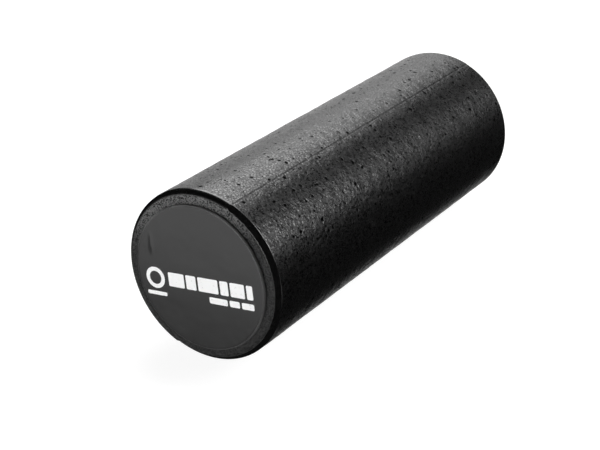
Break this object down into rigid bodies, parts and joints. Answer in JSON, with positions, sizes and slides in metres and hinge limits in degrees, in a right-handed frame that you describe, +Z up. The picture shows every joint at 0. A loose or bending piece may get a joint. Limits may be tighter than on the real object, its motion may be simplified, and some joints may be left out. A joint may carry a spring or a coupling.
{
  "type": "foam roller",
  "caption": "Solid cylindrical foam roller moulded from black expanded beads, with bevelled rims and a thin printed soft pad on each end.",
  "frame": {"origin": "centre of the roller, on its axis and midway between its ends", "axes": "+Y along the roller's axis from the front end to the rear end, +Z up as it lies on its side, +X to the right for someone facing the front end"},
  "size_m": [0.15, 0.425, 0.15],
  "materials": {
    "bead_foam": "semi-gloss moulded skin on black expanded polypropylene beads, pebbled, with small voids",
    "soft_vinyl": "satin black soft vinyl",
    "adhesive": "dull acrylic adhesive film",
    "white_ink": "white screen print, matte"
  },
  "bodies": {
    "root": {"foam_body": "bead_foam", "front_end_pad": "soft_vinyl", "front_pad_adhesive": "adhesive", "front_pad_print": "white_ink", "rear_end_pad": "soft_vinyl", "rear_pad_adhesive": "adhesive", "rear_pad_print": "white_ink"}
  },
  "joints": []
}
